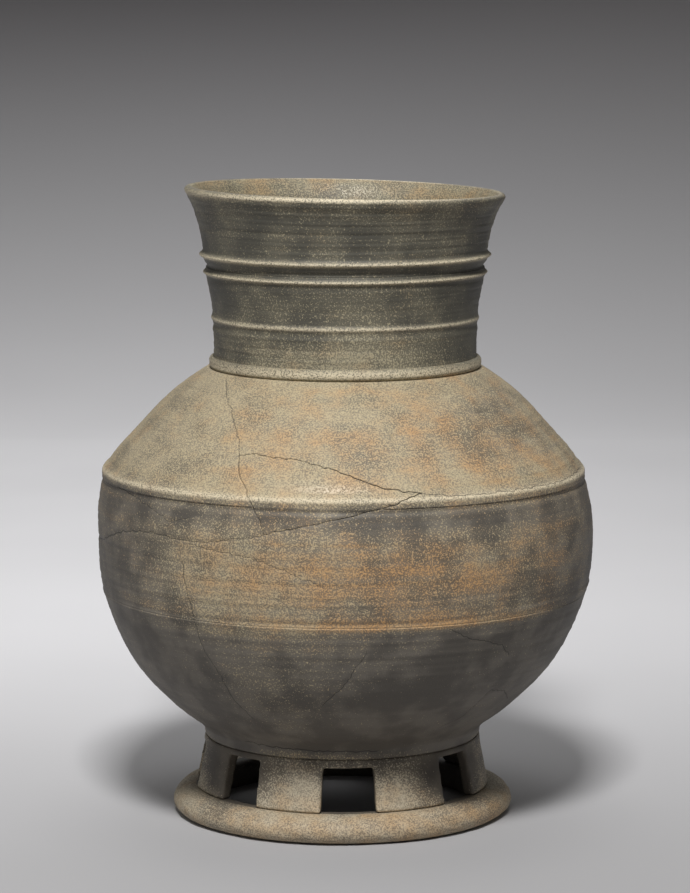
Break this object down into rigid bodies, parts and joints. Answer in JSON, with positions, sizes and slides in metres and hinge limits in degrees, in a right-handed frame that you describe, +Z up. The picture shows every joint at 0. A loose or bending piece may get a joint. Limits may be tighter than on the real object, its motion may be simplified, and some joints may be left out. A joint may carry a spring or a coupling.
{
  "type": "long-necked jar",
  "caption": "Round-bodied stoneware jar with a wide ridged neck, a flared mouth and a low foot pierced by square windows on a rolled base ring.",
  "frame": {"origin": "centre of the foot ring's flat underside", "axes": "+Z up along the jar's axis, -Y towards the front, +X to the right seen from the front"},
  "size_m": [0.2838, 0.2838, 0.36],
  "materials": {
    "pale_stoneware": "dry, with an ochre crust",
    "dark_stoneware": "dry, with faint turning marks",
    "ashed_stoneware": "speckled with fired ash, with glossy spots",
    "neck_stoneware": "satin, with fine pale speckle"
  },
  "bodies": {
    "root": {"foot_ring": "pale_stoneware", "pierced_foot": "dark_stoneware", "lower_bowl": "dark_stoneware", "belly": "ashed_stoneware", "shoulder": "ashed_stoneware", "front_sherd": "ashed_stoneware", "neck_coil": "pale_stoneware", "neck": "neck_stoneware", "mouth": "neck_stoneware"}
  },
  "joints": []
}
